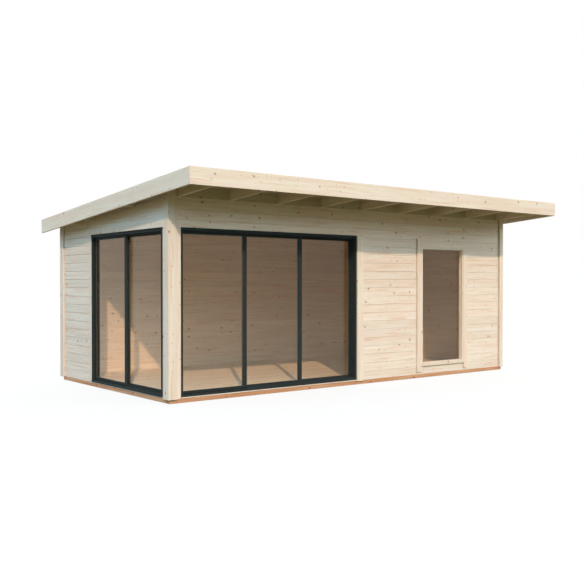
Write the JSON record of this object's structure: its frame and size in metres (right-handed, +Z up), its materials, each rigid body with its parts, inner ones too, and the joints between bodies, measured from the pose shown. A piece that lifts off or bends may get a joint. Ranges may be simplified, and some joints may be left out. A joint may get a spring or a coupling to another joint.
{
  "type": "timber garden office pod",
  "caption": "Garden office of pale horizontal timber boards with a single-pitch canopy roof, dark sliding glass doors at the front and left side, and a tall fixed window.",
  "frame": {"origin": "ground level under the middle of the roof", "axes": "+X to the right along the front, +Y from the front to the back, +Z up"},
  "size_m": [6.38, 4.015, 2.5573],
  "materials": {
    "wall_spruce": "planed untreated spruce boards, matt",
    "trim_spruce": "planed untreated spruce trim, matt",
    "roof_spruce": "planed spruce rafters and boards, matt",
    "base_timber": "brown impregnated softwood, matt",
    "floor_spruce": "planed floor boards, matt",
    "anthracite_aluminium": "anthracite powder coat, satin",
    "clear_glass": "clear glazing",
    "roofing_felt": "dark mineral-faced roofing felt"
  },
  "bodies": {
    "root": {"front_left_post": "wall_spruce", "front_wall_header": "wall_spruce", "front_wall_panel": "wall_spruce", "left_wall_header": "wall_spruce", "left_wall_panel": "wall_spruce", "right_wall": "wall_spruce", "back_wall": "wall_spruce", "door_corner_trim": "trim_spruce", "front_right_corner_trim": "trim_spruce", "back_left_corner_trim": "trim_spruce", "back_right_corner_trim": "trim_spruce", "door_trims": "trim_spruce", "door_thresholds": "trim_spruce", "window_trim": "trim_spruce", "window_frame": "trim_spruce", "front_fascia": "trim_spruce", "back_fascia": "trim_spruce", "side_fascias": "trim_spruce", "rafters": "roof_spruce", "lookouts": "roof_spruce", "front_blocking": "roof_spruce", "back_blocking": "roof_spruce", "roof_deck": "roof_spruce", "base_beams": "base_timber", "base_end_beams": "base_timber", "floor_joists": "base_timber", "floor_deck": "floor_spruce", "front_door_head": "anthracite_aluminium", "front_door_sill": "anthracite_aluminium", "front_door_jambs": "anthracite_aluminium", "side_door_head": "anthracite_aluminium", "side_door_sill": "anthracite_aluminium", "side_door_jambs": "anthracite_aluminium", "front_sash_left": "anthracite_aluminium", "side_sash_back": "anthracite_aluminium", "window_glass": "clear_glass", "front_glass_left": "clear_glass", "side_glass_back": "clear_glass", "roof_felt": "roofing_felt"},
    "front_middle_leaf": {"front_sash_middle": "anthracite_aluminium", "front_glass_middle": "clear_glass"},
    "front_right_leaf": {"front_sash_right": "anthracite_aluminium", "front_glass_right": "clear_glass"},
    "side_front_leaf": {"side_sash_front": "anthracite_aluminium", "side_glass_front": "clear_glass"}
  },
  "joints": [
    {"name": "front_middle_slide", "type": "slide", "parent": "root", "child": "front_middle_leaf", "axis": [-1, 0, 0], "range_m": [0, 0.84]},
    {"name": "front_right_slide", "type": "slide", "parent": "root", "child": "front_right_leaf", "axis": [-1, 0, 0], "range_m": [0, 1.71]},
    {"name": "side_front_slide", "type": "slide", "parent": "root", "child": "side_front_leaf", "axis": [0, 1, 0], "range_m": [0, 0.82]}
  ]
}
